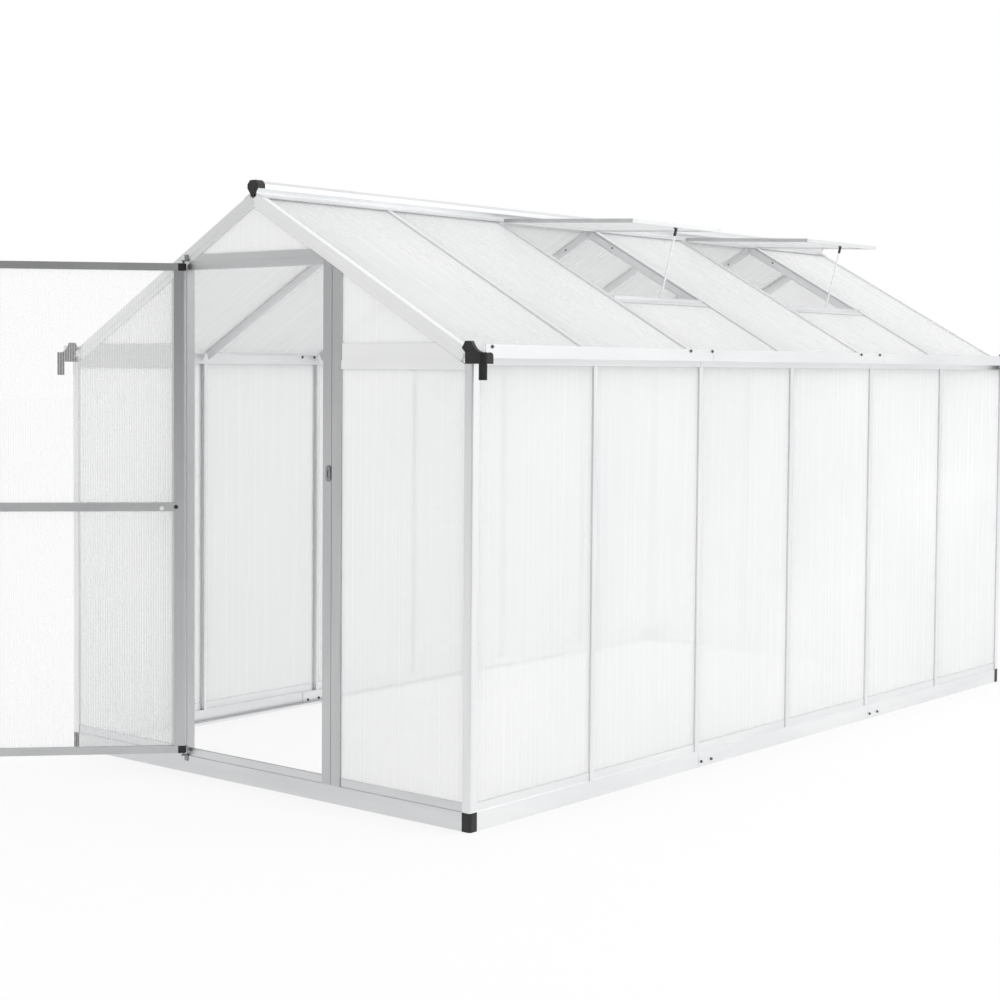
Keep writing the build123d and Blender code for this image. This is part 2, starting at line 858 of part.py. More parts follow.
def roof_sheet(bay, start):
    """Outline of one roof sheet in the slope's plane."""
    low = bay * bay_pitch + sheet_bite
    high = (bay + 1) * bay_pitch - sheet_bite
    if bay == 0:
        low = verge_wall + seat_gap
    if bay == bay_count - 1:
        high = length - verge_wall - seat_gap
    block(start, roof_sheet_end, low, high)


with BuildPart() as right_roof_sheets:
    with BuildSketch(slope_face):
        for bay in range(bay_count):
            if bay + 1 in vent_bay_numbers:
                roof_sheet(bay, vent_sill_start + sill_wall + seat_gap)
            else:
                roof_sheet(bay, roof_sheet_start)
    extrude(amount=-sheet_thickness)

with BuildPart() as plain_slope:
    with BuildSketch(slope_face):
        for bay in range(bay_count):
            roof_sheet(bay, roof_sheet_start)
    extrude(amount=-sheet_thickness)

with BuildPart() as left_roof_sheets:
    mirror(plain_slope.part, about=Plane.YZ)

# Vent sills: a channel over the top edge of the short sheet, with an upstand
with BuildPart() as vent_sills:
    for number in vent_bay_numbers:
        low = (number - 1) * bay_pitch + cap_width / 2 + seat_gap
        high = number * bay_pitch - cap_width / 2 - seat_gap
        across = Plane(
            origin=slope_point(0, high), x_dir=(slope_cos, 0, -slope_sin), z_dir=(0, -1, 0)
        )
        upstand_top = vent_sill_upstand - cap_depth
        with BuildSketch(across):
            block(vent_sill_start, vent_sill_end, -cap_depth, sill_wall - cap_depth)
            block(vent_sill_start, vent_sill_start + sill_wall, -flange_face, upstand_top)
            block(vent_sill_start, vent_sill_end, -flange_face, -inner_face)
        extrude(amount=high - low)

# Vent flaps, standing open: four rails round a sheet
flap_angle = math.radians(vent_open_angle)
flap_cos = math.cos(flap_angle)
flap_sin = math.sin(flap_angle)
flap_root = slope_point(vent_hinge, 0, seat_gap + vent_rail_thickness / 2)


def flap_plane(distance, y):
    """Plane across a flap at a distance from its hinge: x is +Y, y points up."""
    return Plane(
        origin=(flap_root[0] + distance * flap_cos, y, flap_root[2] - distance * flap_sin),
        x_dir=(0, 1, 0),
        z_dir=(flap_cos, 0, -flap_sin),
    )


def rail_section():
    """Section of a flap rail with its groove on the +x side."""
    outer = (vent_rail_width, vent_rail_thickness)
    Rectangle(*outer)
    with Locations((outer[0] / 2, 0)):
        Rectangle(2 * vent_wall + sill_wall, groove, mode=Mode.SUBTRACT)


flap_low_edge = cap_width / 2 + vent_side_gap
with BuildPart() as vent_frames:
    for number in vent_bay_numbers:
        low = (number - 1) * bay_pitch + flap_low_edge
        high = number * bay_pitch - flap_low_edge
        inner_low = low + vent_rail_width
        inner_high = high - vent_rail_width
        for y, turn in ((low + vent_rail_width / 2, 0), (high - vent_rail_width / 2, 180)):
            with BuildSketch(flap_plane(0, y)):
                with BuildSketch(mode=Mode.PRIVATE) as rail:
                    rail_section()
                add(rail.sketch, rotation=turn)
            extrude(amount=vent_length)
        for distance, turn in ((vent_rail_width / 2, 0), (vent_length - vent_rail_width / 2, 180)):
            place = flap_plane(distance, inner_high - seat_gap)
            across = Plane(origin=place.origin, x_dir=(flap_cos, 0, -flap_sin), z_dir=(0, -1, 0))
            with BuildSketch(across):
                with BuildSketch(mode=Mode.PRIVATE) as rail:
                    rail_section()
                add(rail.sketch, rotation=turn)
            extrude(amount=inner_high - inner_low - 2 * seat_gap)

with BuildPart() as vent_sheets:
    for number in vent_bay_numbers:
        low = (number - 1) * bay_pitch + flap_low_edge + vent_rail_width - vent_wall
        high = number * bay_pitch - flap_low_edge - vent_rail_width + vent_wall
        sheet_plane = Plane(
            origin=flap_plane(0, 0).origin, x_dir=(flap_cos, 0, -flap_sin), z_dir=(flap_sin, 0, flap_cos)
        )
        with BuildSketch(sheet_plane.offset(-sheet_thickness / 2)):
            block(vent_rail_width - vent_wall, vent_length - vent_rail_width + vent_wall, low, high)
        extrude(amount=sheet_thickness)

# Vent stays: bent flat bars from the flap's free rail over the sill to the inside
with BuildPart() as vent_stays:
    stay_head = flap_plane(vent_length - vent_rail_width / 2, 0).origin
    stay_top = (stay_head.X, stay_head.Z - (vent_rail_thickness + stay_thickness) / 2 - seat_gap)
    rest = slope_point(vent_sill_start + sill_wall / 2, 0, vent_sill_upstand - cap_depth)
    stay_rest = (rest[0] - stay_thickness, rest[2])
    tail_turn = math.radians(stay_tail_angle)
    tail = (
        stay_rest[0] - stay_tail * math.sin(tail_turn),
        stay_rest[1] - stay_tail * math.cos(tail_turn),
    )
    for number in vent_bay_numbers:
        middle = (number - 0.5) * bay_pitch
        with BuildSketch(along_wall_plane(middle + stay_width / 2)):
            with BuildLine():
                FilletPolyline(stay_top, stay_rest, tail, radius=stay_bend_radius)
                offset(amount=stay_thickness / 2)
            make_face()
        extrude(amount=stay_width)


# Door leaf, drawn on planes that follow its open angle
leaf_turn = math.radians(-leaf_open_angle)
leaf_x = (math.cos(leaf_turn), math.sin(leaf_turn), 0)
leaf_y = (-math.sin(leaf_turn), math.cos(leaf_turn), 0)
leaf_end = leaf_width - hinge_radius


def leaf_level(z):
    """Horizontal plane on the hinge axis: x runs along the leaf, y to its inner face."""
    return Plane(origin=(hinge_x, hinge_y, z), x_dir=leaf_x, z_dir=(0, 0, 1))


def leaf_section(distance):
    """Upright plane across the leaf: x is its thickness, y is up, extrusion to the free edge."""
    origin = (hinge_x + distance * leaf_x[0], hinge_y + distance * leaf_x[1], 0)
    return Plane(origin=origin, x_dir=leaf_y, z_dir=leaf_x)


stile_low = leaf_bottom + rail_height + seat_gap
stile_high = leaf_top - rail_height - seat_gap
stile_edge = stile_width - hinge_radius
free_edge = leaf_end - stile_width

with BuildPart() as door_hinge_stile:
    with BuildSketch(leaf_level(stile_low)):
        block(0, stile_edge, -hinge_radius, hinge_radius)
        Circle(hinge_radius)
        with Locations(((stile_edge - leaf_groove_depth) / 2, 0)):
            Rectangle(
                stile_edge - leaf_groove_depth - 2 * leaf_wall,
                leaf_thickness - 2 * leaf_wall,
                mode=Mode.SUBTRACT,
            )
        with Locations((stile_edge - leaf_groove_depth / 2, 0)):
            Rectangle(leaf_groove_depth, groove, mode=Mode.SUBTRACT)
    extrude(amount=stile_high - stile_low)

with BuildPart() as door_free_stile:
    with BuildSketch(leaf_level(stile_low)):
        block(free_edge, leaf_end, -hinge_radius, hinge_radius)
        with Locations(((free_edge + leaf_groove_depth + leaf_end) / 2, 0)):
            Rectangle(
                stile_width - leaf_groove_depth - 2 * leaf_wall,
                leaf_thickness - 2 * leaf_wall,
                mode=Mode.SUBTRACT,
            )
        with Locations((free_edge + leaf_groove_depth / 2, 0)):
            Rectangle(leaf_groove_depth, groove, mode=Mode.SUBTRACT)
    extrude(amount=stile_high - stile_low)

block_end = hinge_block_length - hinge_radius
with BuildPart() as door_rails:
    for low, grooves in (
        (leaf_bottom, (1,)),
        (leaf_top - rail_height, (-1,)),
        (mid_rail_centre - mid_rail_height / 2, (-1, 1)),
    ):
        is_middle = len(grooves) == 2
        height = mid_rail_height if is_middle else rail_height
        start = stile_edge + seat_gap if is_middle else block_end + seat_gap
        end = free_edge - seat_gap if is_middle else leaf_end
        chamber = height - 2 * leaf_wall - leaf_groove_depth * len(grooves)
        shift = -grooves[0] * leaf_groove_depth / 2 if not is_middle else 0
        with BuildSketch(leaf_section(start)):
            block(-hinge_radius, hinge_radius, low, low + height)
            with Locations((0, low + height / 2 + shift)):
                Rectangle(leaf_thickness - 2 * leaf_wall, chamber, mode=Mode.SUBTRACT)
            for side in grooves:
                mouth = low + height / 2 + side * (height - leaf_groove_depth) / 2
                with Locations((0, mouth)):
                    Rectangle(groove, leaf_groove_depth, mode=Mode.SUBTRACT)
        extrude(amount=end - start)

with BuildPart() as door_sheets:
    grip = leaf_groove_depth - seat_gap
    mid_low = mid_rail_centre - mid_rail_height / 2
    mid_high = mid_rail_centre + mid_rail_height / 2
    for low, high in (
        (leaf_bottom + rail_height, mid_low),
        (mid_high, leaf_top - rail_height),
    ):
        with BuildSketch(leaf_section(stile_edge - grip)):
            block(-sheet_thickness / 2, sheet_thickness / 2, low - grip, high + grip)
        extrude(amount=free_edge - stile_edge + 2 * grip)

# Hinge blocks on the leaf, and the brackets with pins on the frame
with BuildPart() as door_hinge_blocks:
    for low in (leaf_bottom, leaf_top - rail_height):
        with BuildSketch(leaf_level(low)):
            block(0, block_end, -hinge_radius, hinge_radius)
            Circle(hinge_radius)
            Circle(hinge_pin_radius + hinge_pin_clearance, mode=Mode.SUBTRACT)
        extrude(amount=rail_height)

with BuildPart() as door_hinge_brackets:
    for edge, direction in ((leaf_bottom, -1), (leaf_top, 1)):
        tab = edge + direction * bracket_gap
        with BuildSketch(Plane.XY.offset(tab)):
            with Locations((hinge_x, hinge_y)):
                Circle(bracket_width / 2)
            block(hinge_x - bracket_width / 2, hinge_x + bracket_width / 2, hinge_y, -seat_gap)
        extrude(amount=direction * bracket_thickness)
        leg_low = tab
        leg_high = tab + direction * bracket_leg
        leg_plane = Plane(origin=(hinge_x, -seat_gap, 0), x_dir=(1, 0, 0), z_dir=(0, -1, 0))
        with BuildSketch(leg_plane):
            block(-bracket_width / 2, bracket_width / 2, leg_low, leg_high)
        extrude(amount=bracket_thickness)
        pin_start = edge - direction * hinge_pin_depth
        with BuildSketch(Plane.XY.offset(pin_start)):
            with Locations((hinge_x, hinge_y)):
                Circle(hinge_pin_radius)
        extrude(amount=direction * (hinge_pin_depth + bracket_gap))

# Knobs and screw caps of the leaf
with BuildPart() as door_knobs:
    knob_along = free_edge + knob_inset
    for side in (-1, 1):
        base = Plane(
            origin=(
                hinge_x + knob_along * leaf_x[0] + side * hinge_radius * leaf_y[0],
                hinge_y + knob_along * leaf_x[1] + side * hinge_radius * leaf_y[1],
                keep_centre,
            ),
            z_dir=(side * leaf_y[0], side * leaf_y[1], 0),
        )
        with BuildSketch(base.offset(seat_gap)):
            Circle(knob_radius)
        extrude(amount=knob_height, taper=knob_taper)

with BuildPart() as door_screw_caps:
    for along in (stile_edge - cap_screw_radius, free_edge + cap_screw_radius):
        base = Plane(
            origin=(
                hinge_x + along * leaf_x[0] + (hinge_radius + seat_gap) * leaf_y[0],
                hinge_y + along * leaf_x[1] + (hinge_radius + seat_gap) * leaf_y[1],
                mid_rail_centre,
            ),
            z_dir=leaf_y,
        )
        with BuildSketch(base):
            Circle(cap_screw_radius)
        extrude(amount=cap_screw_height, taper=cap_screw_taper)

save(front_base_rail, "front_base_rail")
save(rear_base_rail, "rear_base_rail")
save(left_base_rail, "left_base_rail")
save(right_base_rail, "right_base_rail")
save(base_joiners, "base_joiners")
save(corner_feet, "corner_feet")
save(front_sill, "front_sill")
save(rear_sill, "rear_sill")
save(side_sills, "side_sills")
save(front_corner_posts, "front_corner_posts")
save(rear_corner_posts, "rear_corner_posts")
save(left_wall_bars, "left_wall_bars")
save(right_wall_bars, "right_wall_bars")
save(left_gutter, "left_gutter")
save(right_gutter, "right_gutter")
save(gutter_end_caps, "gutter_end_caps")
save(ridge_beam, "ridge_beam")
save(ridge_end_caps, "ridge_end_caps")
save(ridge_gussets, "ridge_gussets")
save(left_roof_bars, "left_roof_bars")
save(right_roof_bars, "right_roof_bars")
save(front_verge_bars, "front_verge_bars")
save(rear_verge_bars, "rear_verge_bars")
save(front_eave_rails, "front_eave_rails")
save(rear_eave_rails, "rear_eave_rails")
save(door_jambs, "door_jambs")
save(door_header, "door_header")
save(latch_keep, "latch_keep")
save(rear_gable_posts, "rear_gable_posts")
save(left_wall_sheets, "left_wall_sheets")
save(right_wall_sheets, "right_wall_sheets")
save(front_wall_sheets, "front_wall_sheets")
save(rear_wall_sheets, "rear_wall_sheets")
save(left_roof_sheets, "left_roof_sheets")
save(right_roof_sheets, "right_roof_sheets")
save(vent_frames, "vent_frames")
save(vent_sheets, "vent_sheets")
save(vent_sills, "vent_sills")
save(vent_stays, "vent_stays")
save(door_hinge_stile, "door_hinge_stile")
save(door_free_stile, "door_free_stile")
save(door_rails, "door_rails")
save(door_sheets, "door_sheets")
save(door_hinge_blocks, "door_hinge_blocks")
save(door_hinge_brackets, "door_hinge_brackets")
save(door_knobs, "door_knobs")
save(door_screw_caps, "door_screw_caps")
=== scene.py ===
"""Looks of the greenhouse: twin-wall sheets, aluminium finish, bolts, light and camera.

Units are metres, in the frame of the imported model: +X across the gable, +Y along the
ridge, +Z up, origin on the ground under the middle of the front base rail.
"""

import math

import bmesh
import bpy
from mathutils import Matrix, Vector


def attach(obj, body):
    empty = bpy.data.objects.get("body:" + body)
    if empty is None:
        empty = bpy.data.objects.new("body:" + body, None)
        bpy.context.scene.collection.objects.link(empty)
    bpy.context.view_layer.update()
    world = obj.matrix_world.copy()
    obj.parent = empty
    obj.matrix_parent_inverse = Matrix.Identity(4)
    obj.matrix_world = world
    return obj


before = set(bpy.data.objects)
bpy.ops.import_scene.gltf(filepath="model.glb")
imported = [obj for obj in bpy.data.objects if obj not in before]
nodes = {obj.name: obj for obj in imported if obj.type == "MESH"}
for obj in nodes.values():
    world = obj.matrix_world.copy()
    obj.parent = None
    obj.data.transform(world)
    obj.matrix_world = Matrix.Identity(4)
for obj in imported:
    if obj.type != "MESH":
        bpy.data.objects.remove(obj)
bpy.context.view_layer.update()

# Camera, solved from the photograph's corner points
CAMERA_PLACE = (4.5257, -4.2106, 1.3897)
CAMERA_YAW = -0.691
CAMERA_PITCH = -0.0436
CAMERA_ROLL = 0.0075
CAMERA_REACH = 200
FOCAL_IN_WIDTHS = 1.85979
SENSOR_WIDTH = 36.0
SHIFT_Y = -0.05

# Studio
WHITE = (1, 1, 1, 1)
SKY_STRENGTH = 1.0
SURROUND_STRENGTH = 0.95
CARD_DIRECTION = (0.45, -0.89, 0.0)
CARD_STRENGTH = 0.05
CARD_EDGE = -0.1
CARD_FULL = 0.85
FLOOR_HALF_WIDTH = 60
FLOOR_DROP = 0.0005
FLOOR_GREY = (0.93, 0.93, 0.93, 1)
FLOOR_ROUGHNESS = 0.9
FLOOR_WHITE_SHARE = 0.80
KEY_PLACE = (5.5, 4.5, 4.2)
KEY_AIM = (0.4, 1.6, 0.9)
KEY_SIZE = (4.0, 3.0)
KEY_POWER = 90

# Light paths, held few so that the render stays quick
SHEET_CROSSINGS = 8
DIFFUSE_BOUNCES = 3
ALL_BOUNCES = 6

# Directions of bars and sheets
ACROSS = (1, 0, 0)
LENGTHWISE = (0, 1, 0)
UPRIGHT = (0, 0, 1)
SLOPING = (1, 0, 1)
SLOPE = math.atan2(0.529, 0.950)
VENT_DROP = math.radians(2.5)
DOOR_TURN = math.radians(-133.0)

# Twin-wall sheets
RIB_PITCH = 0.0081
RIB_THICKNESS = 0.0005
SKIN_THICKNESS = 0.0003
RIB_END = 0.0006
WELD = 1e-6
FLAT = 1e-7
SLACK = 1e-6

# Share of the light that a skin stops, where it is clearest and where it is cloudiest
WALL_HAZE = (0.40, 0.54)
LEFT_HAZE = (0.30, 0.42)
ROOF_HAZE = (0.28, 0.38)
VENT_HAZE = (0.12, 0.20)
DOOR_HAZE = (0.08, 0.14)
SHEET_SHADOW = 0.35
SHEET_IOR = 1.58

# Aluminium, as its dark and its light colour; some sets are darkened or lightened copies of it, as
# painted shade and painted light
MILL_TONES = ((0.80, 0.81, 0.82), (0.90, 0.905, 0.91))
SLOPE_TONES = ((0.84, 0.845, 0.85), (0.91, 0.915, 0.92))
# Painted shade: the front base rail, front sill and door header take darker tones than the mill finish,
# for the darker surround they reflect
FRONT_SHADE_TONES = ((0.68, 0.69, 0.70), (0.76, 0.765, 0.77))
# Painted light: the eave rails and verge bars take paler tones than the mill finish, for the brighter
# reflection on them; the leaf's rivet shares them
PALE_LIGHT_TONES = ((0.88, 0.885, 0.89), (0.94, 0.943, 0.946))
# Painted shade: the door rails, stiles and jambs take still darker tones than the mill finish, for the
# dark reflection in their front faces
DOOR_RAIL_SHADE_TONES = ((0.57, 0.58, 0.59), (0.65, 0.655, 0.66))
DOOR_STILE_SHADE_TONES = ((0.54, 0.55, 0.56), (0.62, 0.625, 0.63))

# Values that a noise texture mostly stays between
NOISE_LOW = 0.3
NOISE_HIGH = 0.7

# Bolts, screws and clips, on faces of the carried-over frame
SEAM_STEP = 1.2195
RAIL_FACE = 0.950
JOINER_FACE = 0.9457
RIGHT_RAIL_BOLTS = (1.2345, 1.2975)
LEFT_RAIL_BOLTS = (1.1725, 1.2347)
RAIL_BOLT_HEIGHT = 0.018
GUTTER_FACE = 1.000
GUTTER_WEB = 0.923
GUTTER_BOLTS = (0.014, 1.064, 1.196, 2.2485, 2.397)
GUTTER_BOLT_HEIGHT = 1.455
WEB_BOLTS = (1.1125, 1.1798)
WEB_BOLT_HEIGHT = 1.431
FRAME_COUNT = 5
FRAME_PITCH = 0.610
FRAME_FACE = -0.0165
FRAME_SCREW_REACH = 0.117
FRAME_SCREW_HEIGHT = 1.8745
STAY_MIDDLES = (1.5095, 2.7295)
HOOK_WIDTH = 0.0100
HOOK_OUTLINE = (
    (0.6207, 1.8855), (0.6266, 1.8842), (0.6342, 1.9131), (0.6260, 1.9143), (0.6226, 1.9128),
    (0.6232, 1.9104), (0.6272, 1.9090),
)
HINGE_AXIS = (-0.328, -0.0305)
RIVET_REACH = 0.072
RIVET_HEIGHT = 0.9085
LEAF_HALF_DEPTH = 0.010

# Turned shapes, as rings of a radius at a height above the face
WASHER_RINGS = ((0.0056, 0), (0.0056, 0.0008), (0.0052, 0.0012))
WASHER_SIDES = 24
HEAD_RINGS = ((0.0042, 0.0008), (0.0042, 0.0040), (0.0035, 0.0048))
HEAD_SIDES = 6
SCREW_RINGS = ((0.0042, 0), (0.0042, 0.0006), (0.0034, 0.0020), (0.0016, 0.0027))
SCREW_SIDES = 20
RIVET_RINGS = ((0.0075, 0), (0.0075, 0.0008), (0.0060, 0.0024), (0.0030, 0.0032))
RIVET_SIDES = 28


# Shader nodes
def new_material(name):
    """A node material, with its tree and its shader."""
    material = bpy.data.materials.new(name)
    material.use_nodes = True
    tree = material.node_tree
    return material, tree, tree.nodes["Principled BSDF"]


def place_vector(tree, scale=(1, 1, 1)):
    """The piece's own coordinates, stretched by a scale on each axis."""
    place = tree.nodes.new("ShaderNodeTexCoord")
    mapping = tree.nodes.new("ShaderNodeMapping")
    mapping.inputs["Scale"].default_value = scale
    tree.links.new(place.outputs["Object"], mapping.inputs["Vector"])
    return mapping.outputs["Vector"]


def grain_scale(direction, along, across):
    """A scale with one value on the axes of a direction and another on the rest."""
    return [along if axis else across for axis in direction]


def noise(tree, vector, scale, detail, rough):
    """A noise value, mostly between NOISE_LOW and NOISE_HIGH."""
    node = tree.nodes.new("ShaderNodeTexNoise")
    node.inputs["Scale"].default_value = scale
    node.inputs["Detail"].default_value = detail
    node.inputs["Roughness"].default_value = rough
    tree.links.new(vector, node.inputs["Vector"])
    return node.outputs["Fac"]


def spread(tree, value, low, high, from_low=NOISE_LOW, from_high=NOISE_HIGH):
    """Maps a value from its usual range to a new one, and holds it inside."""
    node = tree.nodes.new("ShaderNodeMapRange")
    node.inputs["From Min"].default_value = from_low
    node.inputs["From Max"].default_value = from_high
    node.inputs["To Min"].default_value = low
    node.inputs["To Max"].default_value = high
    tree.links.new(value, node.inputs["Value"])
    return node.outputs["Result"]


def ramp(tree, value, dark, light, low=NOISE_LOW, high=NOISE_HIGH):
    """A colour between two others, chosen by a value."""
    node = tree.nodes.new("ShaderNodeValToRGB")
    node.color_ramp.elements[0].position = low
    node.color_ramp.elements[0].color = (*dark, 1)
    node.color_ramp.elements[1].position = high
    node.color_ramp.elements[1].color = (*light, 1)
    tree.links.new(value, node.inputs["Fac"])
    return node.outputs["Color"]


def combine(tree, operation, first, second):
    """One value made from two, such as their product."""
    node = tree.nodes.new("ShaderNodeMath")
    node.operation = operation
    tree.links.new(first, node.inputs[0])
    tree.links.new(second, node.inputs[1])
    return node.outputs["Value"]


def mix_shaders(tree, share, first, second):
    """The first shader where the share is 0 and the second where it is 1."""
    node = tree.nodes.new("ShaderNodeMixShader")
    tree.links.new(share, node.inputs["Fac"])
    tree.links.new(first, node.inputs[1])
    tree.links.new(second, node.inputs[2])
    return node.outputs["Shader"]


def coat(tree, shader, colour, roughness):
    """Gives the shader its colour and its roughness."""
    tree.links.new(colour, shader.inputs["Base Color"])
    tree.links.new(roughness, shader.inputs["Roughness"])


def bump(tree, shader, height, strength, distance):
    """Adds a bump to the shader from a height value."""
    node = tree.nodes.new("ShaderNodeBump")
    node.inputs["Strength"].default_value = strength
    node.inputs["Distance"].default_value = distance
    tree.links.new(height, node.inputs["Height"])
    tree.links.new(node.outputs["Normal"], shader.inputs["Normal"])


# Materials
def aluminium(name, direction, tones=MILL_TONES, metal=1.0):
    """Mill finish extrusion: faint draw lines along the bar and cloudy handling marks."""
    material, tree, shader = new_material(name)
    fine = place_vector(tree, grain_scale(direction, along=3.0, across=900.0))
    coarse = place_vector(tree, grain_scale(direction, along=1.5, across=9.0))
    lines = noise(tree, fine, scale=1.0, detail=2.0, rough=0.6)
    clouds = noise(tree, coarse, scale=1.0, detail=4.0, rough=0.55)
    coat(tree, shader, ramp(tree, clouds, *tones), spread(tree, lines, 0.30, 0.46))
    shader.inputs["Metallic"].default_value = metal
    bump(tree, shader, lines, strength=0.12, distance=0.0002)
    return material


def black_plastic():
    """Moulded plastic: near black, with a fine grain and a soft sheen."""
    material, tree, shader = new_material("black_plastic")
    grain = noise(tree, place_vector(tree), scale=700.0, detail=3.0, rough=0.6)
    clouds = noise(tree, place_vector(tree), scale=25.0, detail=3.0, rough=0.5)
    colour = ramp(tree, clouds, (0.008, 0.008, 0.008), (0.02, 0.02, 0.02))
    coat(tree, shader, colour, spread(tree, grain, 0.38, 0.55))
    bump(tree, shader, grain, strength=0.25, distance=0.0003)
    return material


def zinc_steel():
    """Zinc plated steel: cool grey with a faint crystal pattern."""
    material, tree, shader = new_material("zinc_steel")
    cells = tree.nodes.new("ShaderNodeTexVoronoi")
    cells.inputs["Scale"].default_value = 260.0
    tree.links.new(place_vector(tree), cells.inputs["Vector"])
    distance = cells.outputs["Distance"]
    colour = ramp(tree, distance, (0.22, 0.23, 0.24), (0.38, 0.39, 0.40), low=0.1, high=0.8)
    coat(tree, shader, colour, spread(tree, distance, 0.28, 0.42, from_low=0.0, from_high=1.0))
    shader.inputs["Metallic"].default_value = 1.0
    return material


def dark_bolt():
    """Bolt and screw heads: dulled steel with dark patches."""
    material, tree, shader = new_material("bolt_steel")
    clouds = noise(tree, place_vector(tree), scale=300.0, detail=3.0, rough=0.5)
    colour = ramp(tree, clouds, (0.10, 0.10, 0.10), (0.24, 0.24, 0.24))
    coat(tree, shader, colour, spread(tree, clouds, 0.35, 0.5))
    shader.inputs["Metallic"].default_value = 0.9
    return material


def twin_wall_sheet(name, direction, haze):
    """The two skins of a ribbed sheet: cloudy, but thinned for shadow rays."""
    material, tree, shader = new_material(name)
    drawn = place_vector(tree, grain_scale(direction, along=1.2, across=260.0))
    streaks = noise(tree, drawn, scale=1.0, detail=0.0, rough=0.5)
    clouds = noise(tree, place_vector(tree), scale=1.3, detail=1.0, rough=0.5)
    colour = ramp(tree, clouds, (0.96, 0.965, 0.97), (0.99, 0.993, 0.995))
    coat(tree, shader, colour, spread(tree, streaks, 0.22, 0.28))
    path = tree.nodes.new("ShaderNodeLightPath")
    thinned = spread(tree, path.outputs["Is Shadow Ray"], 1.0, SHEET_SHADOW, 0.0, 1.0)
    cover = combine(tree, "MULTIPLY", spread(tree, clouds, *haze), thinned)
    tree.links.new(cover, shader.inputs["Alpha"])
    shader.inputs["IOR"].default_value = SHEET_IOR
    return material


def sheet_ribs():
    """The ribs between the skins, frosted by the light that they scatter."""
    material, tree, shader = new_material("sheet_ribs")
    clouds = noise(tree, place_vector(tree), scale=2.0, detail=1.0, rough=0.5)
    colour = ramp(tree, clouds, (0.94, 0.95, 0.955), (0.99, 0.99, 0.99))
    coat(tree, shader, colour, spread(tree, clouds, 0.35, 0.55))
    return material


# Pieces
def repaint(node, material):
    """Gives a carried-over piece one material in place of its own."""
    data = nodes[node].data
    data.materials.clear()
    data.materials.append(material)


def make_object(name, mesh):
    """A scene object from a bmesh, with its normals made to agree."""
    bmesh.ops.recalc_face_normals(mesh, faces=mesh.faces)
    data = bpy.data.meshes.new(name)
    mesh.to_mesh(data)
    mesh.free()
    piece = bpy.data.objects.new(name, data)
    bpy.context.scene.collection.objects.link(piece)
    return piece


def add_piece(name, mesh, body, material):
    """Makes a piece from a mesh and fixes it to its body."""
    piece = make_object(name, mesh)
    piece.data.materials.append(material)
    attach(piece, body)
    return piece


# Twin-wall sheets
def lowest_corner(points):
    """The lowest y, x and z of some points, to the millimetre, to sort solids by."""
    return tuple(round(min(point[axis] for point in points), 3) for axis in (1, 0, 2))


def solids_of(node):
    """The corner points of each separate solid in a node."""
    mesh = bmesh.new()
    mesh.from_mesh(nodes[node].data)
    bmesh.ops.remove_doubles(mesh, verts=mesh.verts, dist=WELD)
    left = set(mesh.verts)
    groups = []
    while left:
        start = left.pop()
        group = [start]
        queue = [start]
        while queue:
            vert = queue.pop()
            for edge in vert.link_edges:
                other = edge.other_vert(vert)
                if other in left:
                    left.remove(other)
                    group.append(other)
                    queue.append(other)
        groups.append([vert.co.copy() for vert in group])
    mesh.free()
    return sorted(groups, key=lowest_corner)


def reach(outline, u):
    """Lowest and highest v of a convex outline at one u."""
    low, high = math.inf, -math.inf
    for (u0, v0), (u1, v1) in zip(outline, outline[1:] + outline[:1]):
        if abs(u1 - u0) < FLAT:
            if abs(u - u0) < SLACK:
                low, high = min(low, v0, v1), max(high, v0, v1)
            continue
        share = (u - u0) / (u1 - u0)
        if -SLACK <= share <= 1 + SLACK:
            v = v0 + share * (v1 - v0)
            low, high = min(low, v), max(high, v)
    return low, high


def convex_outline(points):
    """Convex outline of flat points, in order."""
    points = sorted(set((round(u, 6), round(v, 6)) for u, v in points))

    def half(row):
        chain = []
        for u, v in row:
            while len(chain) > 1:
                (u0, v0), (u1, v1) = chain[-2], chain[-1]
                if (u1 - u0) * (v - v0) - (v1 - v0) * (u - u0) > 0:
                    break
                chain.pop()
            chain.append((u, v))
        return chain[:-1]

    return half(points) + half(points[::-1])


def add_box(mesh, corner, u, v, w):
    """A closed box from a corner and its three edges."""
    ends = [(i, j, k) for i in (0, 1) for j in (0, 1) for k in (0, 1)]
    verts = [mesh.verts.new(corner + i * u + j * v + k * w) for i, j, k in ends]
    for face in ((0, 1, 3, 2), (4, 6, 7, 5), (0, 4, 5, 1), (2, 3, 7, 6), (0, 2, 6, 4), (1, 5, 7, 3)):
        mesh.faces.new([verts[index] for index in face])


def add_ribs(mesh, points, across, along, normal):
    """The ribs inside one sheet, between its two skins."""
    outline = convex_outline([(p.dot(across), p.dot(along)) for p in points])
    depths = [p.dot(normal) for p in points]
    back = min(depths) + SKIN_THICKNESS
    depth = max(depths) - SKIN_THICKNESS - back
    u_low = min(u for u, _ in outline) + RIB_END
    u_high = max(u for u, _ in outline) - RIB_END - RIB_THICKNESS
    cells = max(1, round((u_high - u_low) / RIB_PITCH))
    for index in range(cells + 1):
        u = u_low + (u_high - u_low) * index / cells
        near = reach(outline, u)
        far = reach(outline, u + RIB_THICKNESS)
        low = max(near[0], far[0]) + RIB_END
        high = min(near[1], far[1]) - RIB_END
        if high > low:
            corner = across * u + along * low + normal * back
            add_box(mesh, corner, across * RIB_THICKNESS, along * (high - low), normal * depth)


def dress_sheets(node, body, across, along, normal, material):
    """Gives a node of plates its clear skin, and ribs inside each plate."""
    repaint(node, material)
    mesh = bmesh.new()
    for points in solids_of(node):
        add_ribs(mesh, points, Vector(across), Vector(along), Vector(normal))
    piece = add_piece("ribs_" + node, mesh, body, rib_material)
    piece.visible_shadow = False
    piece.visible_diffuse = False


def slope_axes(side, angle):
    """The ways down and out of a slope, on one side of the house."""
    down = (side * math.cos(angle), 0, -math.sin(angle))
    out = (side * math.sin(angle), 0, math.cos(angle))
    return down, out


